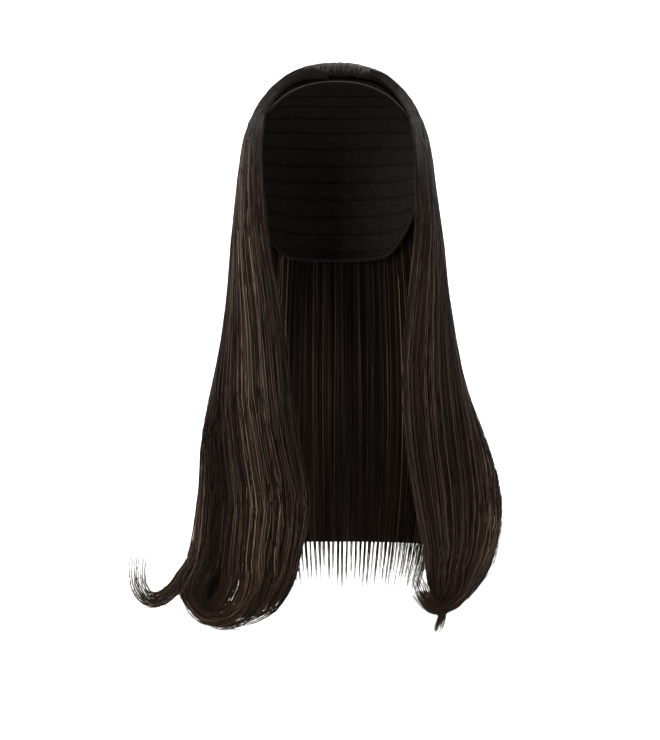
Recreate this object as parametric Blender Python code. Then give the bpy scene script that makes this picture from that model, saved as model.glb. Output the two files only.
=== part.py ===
import math
from collections import namedtuple

import bmesh
import bpy
import numpy as np
from mathutils import Vector

# Head that the wig is cut for, in metres. The crown's top is the origin and the face looks along -Y
HEAD_WIDTH = 0.152
HEAD_LENGTH = 0.194
CROWN_RISE = 0.082  # from the ear line up to the crown
NECK_DEPTH = 0.125  # how slowly the head narrows below the ear line
HEAD_FULLNESS = 2.3  # power of the superellipsoid, 2 would be a plain ellipsoid

# Headband and its stitched front hem
BAND_WIDTH = 0.017
BAND_THICKNESS = 0.0026
HEM_WIDTH = 0.0045
HEM_THICKNESS = 0.0032
BAND_LEAN_TOP = math.radians(45.0)  # how far the band sits forward of the ear line, over the crown
BAND_LEAN_TEMPLE = math.radians(37.0)
BAND_END = math.radians(94.0)  # each end of the band, turned down from the crown

# Cap that carries the hair
CAP_WALL = 0.0015
CAP_SIDE_RIM = math.radians(-5.0)  # rim over the ear, as an angle below the ear line
CAP_NAPE_RIM = math.radians(-40.0)

# Hair
FALL_LENGTH = 0.467  # from the crown down to the lowest tip
SIDE_HAIR_THICKNESS = 0.0066  # of the layer on the head
FRONT_FALL_THICKNESS = 0.017  # of the lengths that hang in front of the shoulders
BACK_FALL_THICKNESS = 0.015
CROWN_THICKNESS = 0.0095
TIP_THICKNESS = 0.0012
LOCK_VALLEY = 0.70  # thickness between two locks, as a share of a lock's own
SEAT_GAP = 0.0003  # between pieces that touch

HALF_WIDTH = HEAD_WIDTH / 2
HALF_LENGTH = HEAD_LENGTH / 2
HEAD_CENTRE = Vector((0.0, 0.0, -CROWN_RISE))

# Fall of one side: a row for each level. drop is a share of FALL_LENGTH, the x columns of the head's half width, the
# y columns of its half length, bulge of its half width, thickness of FRONT_FALL_THICKNESS
Level = namedtuple("Level", "drop face_x face_y rear_x rear_y bulge thickness")
LEFT_LEVELS = [
    Level(0.240, 0.76, -0.72, 1.020, 0.10, 0.18, 0.46),
    Level(0.343, 0.70, -0.73, 1.080, 0.05, 0.20, 0.56),
    Level(0.450, 0.57, -0.73, 1.140, -0.08, 0.22, 0.66),
    Level(0.542, 0.53, -0.74, 1.230, -0.25, 0.22, 0.76),
    Level(0.621, 0.50, -0.77, 1.350, -0.43, 0.18, 0.86),
    Level(0.685, 0.42, -0.81, 1.420, -0.58, 0.14, 0.96),
    Level(0.749, 0.33, -0.85, 1.440, -0.69, 0.11, 1.00),
    Level(0.809, 0.31, -0.90, 1.500, -0.78, 0.08, 1.00),
    Level(0.872, 0.39, -0.95, 1.570, -0.86, 0.06, 0.92),
]
RIGHT_LEVELS = [
    Level(0.240, 0.875, -0.65, 1.010, 0.10, 0.14, 0.46),
    Level(0.343, 0.84, -0.67, 1.080, 0.05, 0.18, 0.56),
    Level(0.450, 0.75, -0.69, 1.155, -0.08, 0.21, 0.66),
    Level(0.542, 0.72, -0.72, 1.260, -0.25, 0.22, 0.76),
    Level(0.621, 0.745, -0.76, 1.410, -0.43, 0.18, 0.86),
    Level(0.685, 0.785, -0.80, 1.580, -0.58, 0.14, 0.96),
    Level(0.749, 0.84, -0.84, 1.710, -0.69, 0.11, 1.00),
    Level(0.809, 0.905, -0.88, 1.745, -0.78, 0.08, 1.00),
    Level(0.860, 0.96, -0.92, 1.680, -0.84, 0.06, 0.92),
]

# Fall of the back: half width as a share of the head's half width, depths of its half length
BackLevel = namedtuple("BackLevel", "drop half_width edge_y middle_y thickness")
BACK_LEVELS = [
    BackLevel(0.240, 1.035, 0.150, 1.035, 0.78),
    BackLevel(0.343, 1.085, 0.185, 1.045, 0.86),
    BackLevel(0.450, 1.130, 0.300, 1.055, 0.93),
    BackLevel(0.555, 1.160, 0.460, 1.080, 1.00),
    BackLevel(0.665, 1.165, 0.600, 1.110, 1.00),
    BackLevel(0.770, 1.140, 0.700, 1.130, 0.95),
    BackLevel(0.870, 1.080, 0.770, 1.120, 0.80),
    BackLevel(0.930, 1.020, 0.790, 1.080, 0.62),
    BackLevel(0.972, 0.960, 0.780, 1.010, 0.42),
]

# Sweep of each side over the head, from the parting down to the ear, in degrees: turns are down from the crown
# and leans forward of the ear line, for the side's front edge and its rear edge. thickness is a share of
# SIDE_HAIR_THICKNESS
Sweep = namedtuple("Sweep", "front_turn front_lean rear_turn rear_lean thickness")
LEFT_SWEEP = [
    Sweep(17, 38.0, 5, -2.0, 1.30),
    Sweep(25, 36.3, 14, -2.3, 1.10),
    Sweep(35, 34.8, 27, -3.0, 0.90),
    Sweep(46, 36.0, 43, -4.0, 0.80),
    Sweep(60, 44.5, 59, -5.0, 0.68),
    Sweep(74, 49.5, 74, -6.5, 0.70),
    Sweep(88, 51.5, 88, -8.0, 0.88),
]
RIGHT_SWEEP = [
    Sweep(22, 33.5, 5, -2.0, 1.30),
    Sweep(29, 33.0, 14, -2.3, 1.10),
    Sweep(37, 33.5, 27, -3.0, 0.90),
    Sweep(47, 35.5, 43, -4.0, 0.80),
    Sweep(60, 41.5, 59, -5.0, 0.68),
    Sweep(74, 45.0, 74, -6.5, 0.70),
    Sweep(88, 47.0, 88, -8.0, 0.88),
]
CROWN_ROOT_RADIUS = math.radians(6.0)  # arc at the crown that the back's hair is rooted on
PARTING = math.radians(0.8)  # between two layers of hair

# Curl at the ends of one side, in shares of FALL_LENGTH: the ends wind round a hole at (hole_x, hole_drop). first and
# last are the locks that it takes in, counted from the face
SIDE_LOCKS = 6
Curl = namedtuple("Curl", "hole_x hole_drop reach_start reach_end rise turn forward first last")
LEFT_CURL = Curl(-0.219, 0.944, 0.133, 0.036, 0.053, 200, 0.022, 0, 4)
RIGHT_CURL = Curl(0.182, 0.900, 0.080, 0.042, 0.052, 214, 0.030, 2, 6)

# Lock that flicks out on the left: its centre line in shares of FALL_LENGTH, from the last level above down to its tip
Flick = namedtuple("Flick", "x drop depth width")
LEFT_FLICK = [
    Flick(-0.239, 0.880, -0.166, 0.050),
    Flick(-0.264, 0.922, -0.164, 0.045),
    Flick(-0.296, 0.952, -0.163, 0.038),
    Flick(-0.325, 0.957, -0.163, 0.032),
    Flick(-0.344, 0.935, -0.163, 0.026),
    Flick(-0.350, 0.900, -0.163, 0.021),
    Flick(-0.345, 0.862, -0.163, 0.016),
    Flick(-0.336, 0.835, -0.163, 0.012),
]

# Inner lengths on the right that end straight, behind the curl
Straight = namedtuple("Straight", "x spread drop depth")
RIGHT_STRAIGHT = [
    Straight(0.173, 0.036, 0.890, -0.186),
    Straight(0.178, 0.032, 0.905, -0.186),
    Straight(0.181, 0.028, 0.919, -0.185),
    Straight(0.183, 0.024, 0.932, -0.185),
    Straight(0.185, 0.020, 0.944, -0.184),
    Straight(0.186, 0.016, 0.955, -0.184),
    Straight(0.187, 0.012, 0.964, -0.183),
    Straight(0.188, 0.008, 0.972, -0.183),
]
CURL_ROWS = 8


# Head surface

def head_point(direction, offset):
    """Point of the head in this direction from its centre, moved out along the surface's normal."""
    height = CROWN_RISE if direction.z > 0 else NECK_DEPTH
    halves = (HALF_WIDTH, HALF_LENGTH, height)
    total = sum((abs(d) / h) ** HEAD_FULLNESS for d, h in zip(direction, halves))
    local = direction * total ** (-1 / HEAD_FULLNESS)
    power = HEAD_FULLNESS - 1
    slope = [math.copysign((abs(p) / h) ** power / h, p) for p, h in zip(local, halves)]
    return HEAD_CENTRE + local + Vector(slope).normalized() * offset


def leaning(turn, lean):
    """Direction turned down from the crown towards +X and leaning forward of the ear line."""
    return Vector((math.cos(lean) * math.sin(turn), -math.sin(lean), math.cos(lean) * math.cos(turn)))


def facing(azimuth, elevation):
    """Direction at an azimuth from the face round towards +X, and an elevation above the ear line."""
    flat = math.cos(elevation)
    return Vector((flat * math.sin(azimuth), -flat * math.cos(azimuth), math.sin(elevation)))


def smooth(share):
    share = min(max(share, 0.0), 1.0)
    return share * share * (3 - 2 * share)


def mix(start, end, share):
    return start + (end - start) * share


def band_lean(turn):
    """Lean of the hem's front edge at this turn from the crown."""
    return mix(BAND_LEAN_TOP, BAND_LEAN_TEMPLE, smooth(abs(turn) / BAND_END))


def across_head(width):
    """Angle that a width on the head's surface takes up near the band."""
    return width / (HALF_LENGTH * 0.95)


def cloth_height(direction):
    """Height over the head of the cap or band that hair is laid on in this direction."""
    lean = math.asin(-direction.y / direction.length)
    turn = math.atan2(abs(direction.x), direction.z)
    band_rear = band_lean(turn) - across_head(HEM_WIDTH + BAND_WIDTH)
    share = smooth((lean - band_rear) / math.radians(4.0) + 1.0)
    return mix(CAP_WALL, HEM_THICKNESS, share) + 3 * SEAT_GAP


# Materials and objects

def finish(name, colour, roughness, sheen=0.0):
    material = bpy.data.materials.new(name)
    material.use_nodes = True
    shader = material.node_tree.nodes["Principled BSDF"]
    shader.inputs["Base Color"].default_value = (*colour, 1.0)
    shader.inputs["Roughness"].default_value = roughness
    shader.inputs["Metallic"].default_value = 0.0
    shader.inputs["Sheen Weight"].default_value = sheen
    return material


def add_object(name, mesh_builder, material):
    mesh = bpy.data.meshes.new(name)
    bmesh.ops.recalc_face_normals(mesh_builder, faces=mesh_builder.faces)
    mesh_builder.to_mesh(mesh)
    mesh_builder.free()
    mesh.materials.append(material)
    mesh.shade_smooth()
    mesh.set_sharp_from_angle(angle=math.radians(50))
    placed = bpy.data.objects.new(name, mesh)
    bpy.context.scene.collection.objects.link(placed)
    return placed


# Cap

def cap_front_lean(turn):
    """Lean of the cap's front edge, just behind the headband."""
    return band_lean(turn) - across_head(HEM_WIDTH + BAND_WIDTH + 4 * SEAT_GAP)


def cap_rim(azimuth):
    """Elevation of the cap's rim at this azimuth: behind the band, over the ear, or down at the nape."""
    share = (abs(azimuth) - math.radians(95)) / math.radians(55)
    lowest = mix(CAP_SIDE_RIM, CAP_NAPE_RIM, smooth(share))
    low, high = lowest, math.radians(90)
    for _ in range(40):
        middle = (low + high) / 2
        direction = facing(azimuth, middle)
        lean = math.asin(-direction.y)
        turn = math.atan2(abs(direction.x), direction.z)
        if lean > cap_front_lean(turn):
            low = middle
        else:
            high = middle
    return high


def make_cap(material, columns=44, rows=7):
    shell = bmesh.new()
    walls = []
    for offset in (0.0, CAP_WALL):
        pole = shell.verts.new(head_point(Vector((0, 0, 1)), offset))
        rings = []
        for row in range(1, rows + 1):
            ring = []
            for column in range(columns):
                azimuth = math.tau * column / columns
                azimuth -= math.tau if azimuth > math.pi else 0.0
                elevation = mix(math.radians(90), cap_rim(azimuth), row / rows)
                ring.append(shell.verts.new(head_point(facing(azimuth, elevation), offset)))
            rings.append(ring)
        walls.append((pole, rings))
    for pole, rings in walls:
        for column in range(columns):
            after = (column + 1) % columns
            shell.faces.new((pole, rings[0][column], rings[0][after]))
            for upper, lower in zip(rings, rings[1:]):
                shell.faces.new((upper[column], lower[column], lower[after], upper[after]))
    inner_rim, outer_rim = walls[0][1][-1], walls[1][1][-1]
    for column in range(columns):
        after = (column + 1) % columns
        shell.faces.new((inner_rim[column], outer_rim[column], outer_rim[after], inner_rim[after]))
    return add_object("cap", shell, material)


# Headband and hem

def make_strip(name, material, start_width, width, thickness, crown, steps=40, sides=4):
    """Band over the head from temple to temple. crown is the share of the thickness that its edges lose."""
    strip = bmesh.new()
    sections = []
    for step in range(steps + 1):
        turn = mix(-BAND_END, BAND_END, step / steps)
        front = band_lean(turn) - across_head(start_width)
        rear = front - across_head(width)
        section = [strip.verts.new(head_point(leaning(turn, lean), 0.0)) for lean in (front, rear)]
        for side in range(sides + 1):
            share = side / sides
            height = thickness * (1 - crown * (2 * share - 1) ** 2)
            lean = mix(rear, front, share)
            section.append(strip.verts.new(head_point(leaning(turn, lean), height)))
        sections.append(section)
    count = len(sections[0])
    for here, there in zip(sections, sections[1:]):
        for corner in range(count):
            after = (corner + 1) % count
            strip.faces.new((here[corner], here[after], there[after], there[corner]))
    strip.faces.new(sections[0])
    strip.faces.new(sections[-1])
    return add_object(name, strip, material)


# Hair

def through(points, share):
    """Point on a smooth curve through these points, which lie at equal steps of share."""
    place = share * (len(points) - 1)
    index = min(int(place), len(points) - 2)
    t = place - index
    before = points[max(index - 1, 0)]
    start, end = points[index], points[index + 1]
    after = points[min(index + 2, len(points) - 1)]
    return 0.5 * (
        2 * start
        + (end - before) * t
        + (2 * before - 5 * start + 4 * end - after) * t * t
        + (3 * start - 3 * end + after - before) * t * t * t
    )


def lens(across, edge):
    """Thickness profile from edge to edge of a layer, as a share of its middle."""
    return mix(edge, 1.0, (1 - (2 * across - 1) ** 2) ** 0.6)


def swept_rows(sweep, side, across):
    """Control points on the head for one line of hair of a side, root first, and their thicknesses."""
    points, depths = [], []
    for station in sweep:
        lean = math.radians(mix(station.front_lean, station.rear_lean, across))
        turn = math.radians(mix(station.front_turn, station.rear_turn, across))
        direction = leaning(side * turn, lean)
        points.append(head_point(direction, cloth_height(direction)))
        depths.append(station.thickness * SIDE_HAIR_THICKNESS * mix(0.35, 1.0, smooth(across / 0.4)))
    return points, depths


def level_point(level, side, across):
    face = Vector((side * level.face_x * HALF_WIDTH, level.face_y * HALF_LENGTH))
    rear = Vector((side * level.rear_x * HALF_WIDTH, level.rear_y * HALF_LENGTH))
    outward = Vector((side, -1.0)).normalized() * level.bulge * HALF_WIDTH
    flat = mix(face, rear, across) + outward * 4 * across * (1 - across)
    return Vector((flat.x, flat.y, -level.drop * FALL_LENGTH))


def fall_rows(levels, side, across):
    points = [level_point(level, side, across) for level in levels]
    depths = [level.thickness * FRONT_FALL_THICKNESS * lens(across, 0.5) for level in levels]
    return points, depths


def curl_rows(curl, start, across):
    """Control points of an end that winds round the curl's hole. start is the point that it leaves from."""
    hole = Vector((curl.hole_x * FALL_LENGTH, -curl.hole_drop * FALL_LENGTH))
    place = (across * SIDE_LOCKS - curl.first) / (curl.last - curl.first)
    size = mix(0.16, 1.0, place if curl.first else 1 - place)
    points = []
    for row in range(CURL_ROWS):
        share = row / (CURL_ROWS - 1)
        angle = math.radians(curl.turn) * share
        reach = mix(curl.reach_start, curl.reach_end, min(angle / math.pi, 1.0)) * FALL_LENGTH
        x = hole.x + size * reach * math.cos(angle)
        z = hole.y - size * curl.rise * FALL_LENGTH * math.sin(angle)
        y = start.y - curl.forward * FALL_LENGTH * smooth(share * 1.5)
        points.append(Vector((x, y, z)))
    return points


def flick_rows(across):
    """Control points of the locks that flick out on the left, beyond the curl."""
    first = LEFT_CURL.last / SIDE_LOCKS
    place = (across - first) / (1 - first) - 0.5
    centres = [Vector((row.x, row.depth, -row.drop)) * FALL_LENGTH for row in LEFT_FLICK]
    points = []
    for index, row in enumerate(LEFT_FLICK):
        ahead = centres[min(index + 1, CURL_ROWS - 1)] - centres[max(index - 1, 0)]
        inward = Vector((ahead.z, 0.0, -ahead.x)).normalized()
        points.append(centres[index] + inward * place * row.width * FALL_LENGTH)
    return points


def straight_rows(across):
    """Control points of the locks that end straight on the right, before the curl."""
    place = across * SIDE_LOCKS / RIGHT_CURL.first - 0.5
    return [
        Vector((row.x + place * row.spread, row.depth, -row.drop)) * FALL_LENGTH for row in RIGHT_STRAIGHT
    ]


def left_line(across, lock):
    on_head, head_depths = swept_rows(LEFT_SWEEP, -1, across)
    falling, fall_depths = fall_rows(LEFT_LEVELS, -1, across)
    if lock < LEFT_CURL.last:
        end = curl_rows(LEFT_CURL, falling[-1], across)
    else:
        end = flick_rows(across)
    end_depths = [fall_depths[-1] * mix(0.85, 0.35, row / (CURL_ROWS - 1)) for row in range(CURL_ROWS)]
    return on_head + falling + end, head_depths + fall_depths + end_depths


def right_line(across, lock):
    on_head, head_depths = swept_rows(RIGHT_SWEEP, 1, across)
    falling, fall_depths = fall_rows(RIGHT_LEVELS, 1, across)
    if lock >= RIGHT_CURL.first:
        end = curl_rows(RIGHT_CURL, falling[-1], across)
    else:
        end = straight_rows(across)
    end_depths = [fall_depths[-1] * mix(0.85, 0.35, row / (CURL_ROWS - 1)) for row in range(CURL_ROWS)]
    return on_head + falling + end, head_depths + fall_depths + end_depths


def back_line(across, lock):
    """One line of the back: from the crown, over the back of the head and down. across runs from -X to +X."""
    angle = math.pi * across
    parting = math.radians(LEFT_SWEEP[0].rear_lean) - PARTING
    root_lean = parting - CROWN_ROOT_RADIUS * math.sin(angle)
    root = leaning(-CROWN_ROOT_RADIUS * math.cos(angle), root_lean)
    edge = math.radians(90 - LEFT_SWEEP[-1].rear_lean) + PARTING
    leave = facing(mix(-edge, edge - math.tau, across), math.radians(2))
    points, depths = [], []
    head_stations = len(LEFT_SWEEP)
    for station in range(head_stations):
        share = station / (head_stations - 1)
        direction = root.slerp(leave, share)
        points.append(head_point(direction, CAP_WALL + 3 * SEAT_GAP))
        depths.append(LEFT_SWEEP[station].thickness * SIDE_HAIR_THICKNESS)
    for level in BACK_LEVELS:
        x = -level.half_width * HALF_WIDTH * math.cos(angle)
        y = mix(level.edge_y, level.middle_y, math.sin(angle) ** 0.8) * HALF_LENGTH
        points.append(Vector((x, y, -level.drop * FALL_LENGTH)))
        depths.append(level.thickness * BACK_FALL_THICKNESS * lens(across, 0.5))
    return points, depths


def tuft_line(across, lock):
    """One line of the tuft between the two sides, brushed straight back from the hem to the crown."""
    left, right = LEFT_SWEEP[0], RIGHT_SWEEP[0]
    margin = PARTING * 0.8
    front = Vector((mix(-left.front_turn, right.front_turn, across), mix(left.front_lean, right.front_lean, across)))
    rear = Vector((mix(-left.rear_turn, right.rear_turn, across), left.rear_lean))
    points, depths = [], []
    stations = 8
    for station in range(stations):
        share = station / (stations - 1)
        along = mix(-0.1 * math.sin(math.pi * across), 1 + 0.13 * math.sin(math.pi * across), share)
        at = mix(front, rear, along)
        turn = math.radians(at.x) + mix(margin, -margin, across)
        lean = math.radians(at.y)
        direction = leaning(turn, lean)
        points.append(head_point(direction, cloth_height(direction)))
        depths.append(CROWN_THICKNESS * mix(0.3, 1.0, smooth(share * 1.6)) * lens(across, 0.8))
    return points, depths


def surface_normals(grid):
    """Unit normals of a grid of points given as rows by columns."""
    along = np.gradient(grid, axis=0)
    across = np.gradient(grid, axis=1)
    normals = np.cross(along, across)
    return normals / np.linalg.norm(normals, axis=2, keepdims=True)


Layer = namedtuple("Layer", "line locks columns rows split taper fixed_from outward")


def layer_points(layer, lock):
    """Underside and outer points of one lock, as arrays of rows by columns."""
    shares = [row / (layer.rows - 1) for row in range(layer.rows)]
    split_share = layer.split / (layer.rows - 1)
    low, high = lock / layer.locks, (lock + 1) / layer.locks
    middle = (low + high) / 2
    inner = np.zeros((layer.rows, layer.columns + 1, 3))
    depth = np.zeros((layer.rows, layer.columns + 1))
    for row, share in enumerate(shares):
        past = max(0.0, share - split_share) / (1.001 - split_share)
        narrow = mix(1.0, layer.taper, past)
        for column in range(layer.columns + 1):
            across = middle + (mix(low, high, column / layer.columns) - middle) * narrow
            points, depths = layer.line(across, lock)
            inner[row, column] = through(points, share)
            ridge = mix(LOCK_VALLEY, 1.0, math.sin(math.pi * column / layer.columns))
            depth[row, column] = max(through(depths, share), TIP_THICKNESS) * ridge
    return inner, depth


def make_hair(name, layer, material):
    """A layer of locks that are one body down to the split row and hang free of each other below it."""
    parts = [layer_points(layer, lock) for lock in range(layer.locks)]
    whole = np.concatenate([parts[0][0][:, :1]] + [inner[:, 1:] for inner, _ in parts], axis=1)
    normals = surface_normals(whole)
    reference = np.array(layer.outward)
    if (normals[layer.rows // 3] @ reference).sum() < 0:
        normals = -normals
    last = int(layer.fixed_from * (layer.rows - 1))
    for row in range(last, layer.rows):
        weight = smooth((row - last) / 4)
        normals[row] = normals[row] * (1 - weight) + reference * weight
    normals /= np.linalg.norm(normals, axis=2, keepdims=True)

    body = bmesh.new()
    corners = {}

    def corner(side, row, lock, column):
        key = (side, row, lock * layer.columns + column)
        if row > layer.split:
            key = (side, row, lock, column)
        if key not in corners:
            inner, depth = parts[lock]
            at = inner[row, column]
            if side:
                at = at + normals[row, lock * layer.columns + column] * depth[row, column]
            corners[key] = body.verts.new(at)
        return corners[key]

    for lock in range(layer.locks):
        for row in range(layer.rows - 1):
            for column in range(layer.columns):
                for side in (0, 1):
                    quad = [(row, column), (row + 1, column), (row + 1, column + 1), (row, column + 1)]
                    body.faces.new([corner(side, r, lock, c) for r, c in quad])
            free = row >= layer.split
            edges = [0] * (free or lock == 0) + [layer.columns] * (free or lock == layer.locks - 1)
            for column in edges:
                body.faces.new(
                    [
                        corner(0, row, lock, column),
                        corner(0, row + 1, lock, column),
                        corner(1, row + 1, lock, column),
                        corner(1, row, lock, column),
                    ]
                )
        for row in (0, layer.rows - 1):
            for column in range(layer.columns):
                body.faces.new(
                    [
                        corner(0, row, lock, column),
                        corner(0, row, lock, column + 1),
                        corner(1, row, lock, column + 1),
                        corner(1, row, lock, column),
                    ]
                )
    return add_object(name, body, material)


def main():
    for old in list(bpy.data.objects):
        bpy.data.objects.remove(old)
    net = finish("cap_net", (0.018, 0.015, 0.014), 0.75)
    velvet = finish("band_velvet", (0.010, 0.009, 0.009), 0.85, sheen=0.4)
    hem_cloth = finish("hem_cloth", (0.022, 0.018, 0.017), 0.7)
    hair = finish("dark_brown_hair", (0.040, 0.026, 0.019), 0.4)

    make_cap(net)
    make_strip("band_hem", hem_cloth, 0.0, HEM_WIDTH, HEM_THICKNESS, 0.55)
    make_strip("headband", velvet, HEM_WIDTH + SEAT_GAP, BAND_WIDTH, BAND_THICKNESS, 0.25)
    side = dict(locks=SIDE_LOCKS, columns=3, rows=31, split=19, taper=0.5, fixed_from=0.62)
    make_hair("hair_left", Layer(left_line, outward=(0.0, -1.0, 0.0), **side), hair)
    make_hair("hair_right", Layer(right_line, outward=(0.0, -1.0, 0.0), **side), hair)
    back = Layer(back_line, 9, 3, 22, 17, 0.55, 1.0, (0.0, 1.0, 0.0))
    make_hair("hair_back", back, hair)
    tuft = Layer(tuft_line, 4, 3, 9, 8, 1.0, 1.0, (0.0, 0.0, 1.0))
    make_hair("hair_crown", tuft, hair)


main()
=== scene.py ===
import math

import bmesh
import bpy
import numpy as np
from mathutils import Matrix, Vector


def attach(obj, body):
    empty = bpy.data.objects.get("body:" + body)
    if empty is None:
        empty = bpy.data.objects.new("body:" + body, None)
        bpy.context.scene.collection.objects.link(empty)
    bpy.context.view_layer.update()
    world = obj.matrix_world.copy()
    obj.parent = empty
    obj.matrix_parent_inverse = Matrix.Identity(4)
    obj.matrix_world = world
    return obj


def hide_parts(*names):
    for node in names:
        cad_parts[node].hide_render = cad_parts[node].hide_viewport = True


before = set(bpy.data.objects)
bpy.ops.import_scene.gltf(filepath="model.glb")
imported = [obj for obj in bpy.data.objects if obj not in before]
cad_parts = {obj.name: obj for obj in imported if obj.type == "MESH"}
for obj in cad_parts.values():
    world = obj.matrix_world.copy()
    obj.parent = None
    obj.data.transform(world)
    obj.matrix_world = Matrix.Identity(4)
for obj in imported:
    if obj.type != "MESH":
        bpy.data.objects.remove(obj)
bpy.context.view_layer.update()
rng = np.random.default_rng(7)
print("frame loaded")


class Wire:  # a shader output that works in plain arithmetic
    def __init__(self, tree, socket):
        self.tree = tree
        self.socket = socket

    def join(self, operation, other, swapped=False):
        node = self.tree.nodes.new("ShaderNodeMath")
        node.operation = operation
        pair = [other, self] if swapped else [self, other]
        for slot, value in zip(node.inputs, pair):
            plug(self.tree, slot, value)
        return Wire(self.tree, node.outputs[0])

    def __add__(self, other):
        return self.join("ADD", other)

    def __radd__(self, other):
        return self.join("ADD", other, True)

    def __sub__(self, other):
        return self.join("SUBTRACT", other)

    def __rsub__(self, other):
        return self.join("SUBTRACT", other, True)

    def __mul__(self, other):
        return self.join("MULTIPLY", other)

    def __rmul__(self, other):
        return self.join("MULTIPLY", other, True)

    def __pow__(self, other):
        return self.join("POWER", other)


def plug(tree, slot, value):
    if isinstance(value, Wire):
        tree.links.new(value.socket, slot)
    else:
        slot.default_value = value


class Finish:  # a material, and the one method that adds any other node to it
    def __init__(self, name, **sockets):
        self.material = bpy.data.materials.new(name)
        self.material.use_nodes = True
        self.tree = self.material.node_tree
        self.shader = self.tree.nodes["Principled BSDF"]
        for key, value in sockets.items():
            self.set(key, value)

    def set(self, key, value):
        plug(self.tree, self.shader.inputs[key.replace("_", " ")], value)

    def add(self, kind, settings=None, values=None, output=0):
        node = self.tree.nodes.new("ShaderNode" + kind)
        for key, value in (settings or {}).items():
            if key == "stops":
                fillRamp(node.color_ramp, value)
            else:
                setattr(node, key, value)
        for key, value in (values or {}).items():
            plug(self.tree, node.inputs[key], value)
        return Wire(self.tree, node.outputs[output])

    def attribute(self, name):
        return self.add("Attribute", {"attribute_name": name}, output=2)

    def multiply(self, colour, tint, factor=1.0):
        settings = {"data_type": "RGBA", "blend_type": "MULTIPLY"}
        return self.add("Mix", settings, {0: factor, 6: colour, 7: tint}, output=2)

    def bump(self, height, strength, distance):
        values = {"Strength": strength, "Distance": distance, "Height": height}
        self.set("Normal", self.add("Bump", {}, values))


def fillRamp(ramp, stops):
    while len(ramp.elements) < len(stops):
        ramp.elements.new(0.5)
    for element, (place, colour) in zip(ramp.elements, stops):
        element.position = place
        element.color = (*colour, 1.0)


headForm = {"width": 0.152, "length": 0.194, "crownRise": 0.082, "neckDepth": 0.125, "fullness": 2.3}
bandForm = {
    "width": 0.017,
    "thickness": 0.0026,
    "hemWidth": 0.0045,
    "hemThickness": 0.0032,
    "leanTop": 45.0,
    "leanTemple": 37.0,
    "end": 94.0,
}
capForm = {"wall": 0.0015, "sideRim": -5.0, "napeRim": -40.0, "columns": 120, "rows": 34}
seatGap = 0.0003
fallLength = 0.467
headCentre = np.array([0.0, 0.0, -headForm["crownRise"]])


def smooth(share):
    share = np.clip(share, 0.0, 1.0)
    return share * share * (3 - 2 * share)


def mix(start, end, share):
    return start + (end - start) * share


def unit(vectors):
    return vectors / np.maximum(np.linalg.norm(vectors, axis=-1, keepdims=True), 1e-9)


def leaning(turn, lean):  # direction turned down from the crown towards +X and leaning forward, in degrees
    turn, lean = np.broadcast_arrays(np.radians(turn), np.radians(lean))
    return np.stack([np.cos(lean) * np.sin(turn), -np.sin(lean), np.cos(lean) * np.cos(turn)], axis=-1)


def facing(azimuth, elevation):  # direction at an azimuth from the face round towards +X, in degrees
    azimuth, elevation = np.broadcast_arrays(np.radians(azimuth), np.radians(elevation))
    flat = np.cos(elevation)
    return np.stack([flat * np.sin(azimuth), -flat * np.cos(azimuth), np.sin(elevation)], axis=-1)


def headPoints(direction, lift):  # points of the head in these directions, lifted off its surface
    power = headForm["fullness"]
    height = np.where(direction[..., 2] > 0, headForm["crownRise"], headForm["neckDepth"])
    width = np.full_like(height, headForm["width"] / 2)
    length = np.full_like(height, headForm["length"] / 2)
    halves = np.stack([width, length, height], axis=-1)
    total = ((np.abs(direction) / halves) ** power).sum(axis=-1)
    local = direction * total[..., None] ** (-1 / power)
    slope = np.sign(local) * (np.abs(local) / halves) ** (power - 1) / halves
    return headCentre + local + unit(slope) * np.asarray(lift)[..., None]


def bandLean(turn):
    return mix(bandForm["leanTop"], bandForm["leanTemple"], smooth(np.abs(turn) / bandForm["end"]))


def acrossHead(width):
    return math.degrees(width / (headForm["length"] / 2 * 0.95))


def clothHeight(direction):  # top of the cap or the band under the hair
    lean = np.degrees(np.arcsin(np.clip(-direction[..., 1], -1, 1)))
    turn = np.degrees(np.arctan2(np.abs(direction[..., 0]), direction[..., 2]))
    bandRear = bandLean(turn) - acrossHead(bandForm["hemWidth"] + bandForm["width"])
    share = smooth((lean - bandRear) / 4.0 + 1.0)
    return mix(capForm["wall"], bandForm["hemThickness"], share) + 3 * seatGap


def through(points, places):  # smooth curve through rows of points, read at places between the rows
    last = len(points) - 1
    index = np.clip(places.astype(int), 0, last - 1)
    t = (places - index).reshape((-1,) + (1,) * (points.ndim - 1))
    before, start = points[np.maximum(index - 1, 0)], points[index]
    end, after = points[index + 1], points[np.minimum(index + 2, last)]
    square = (2 * before - 5 * start + 4 * end - after) * t**2
    cube = (3 * start - 3 * end + after - before) * t**3
    return 0.5 * (2 * start + (end - before) * t + square + cube)


def gridFaces(rows, columns, closed=False, flip=False):  # quads of a grid of points, row after row
    index = np.arange(rows * columns).reshape(rows, columns)
    if closed:
        index = np.concatenate([index, index[:, :1]], axis=1)
    quads = np.stack([index[:-1, :-1], index[1:, :-1], index[1:, 1:], index[:-1, 1:]], axis=-1).reshape(-1, 4)
    return quads[:, ::-1] if flip else quads


def linkMesh(name, verts, faces, material, attributes=None, spread=None):
    mesh = bpy.data.meshes.new(name)
    mesh.from_pydata(verts.tolist(), [], faces)
    for key, values in (attributes or {}).items():
        layer = mesh.attributes.new(key, "FLOAT", "POINT")
        layer.data.foreach_set("value", np.asarray(values, dtype=np.float32).ravel())
    if spread is not None:  # a UV map named OFBake, a cell for each strand
        layer = mesh.uv_layers.new(name="OFBake")
        layer.uv.foreach_set("vector", spread.astype(np.float32).ravel())
    mesh.polygons.foreach_set("use_smooth", [True] * len(mesh.polygons))
    mesh.materials.append(material)
    piece = bpy.data.objects.new(name, mesh)
    bpy.context.scene.collection.objects.link(piece)
    return piece


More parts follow.
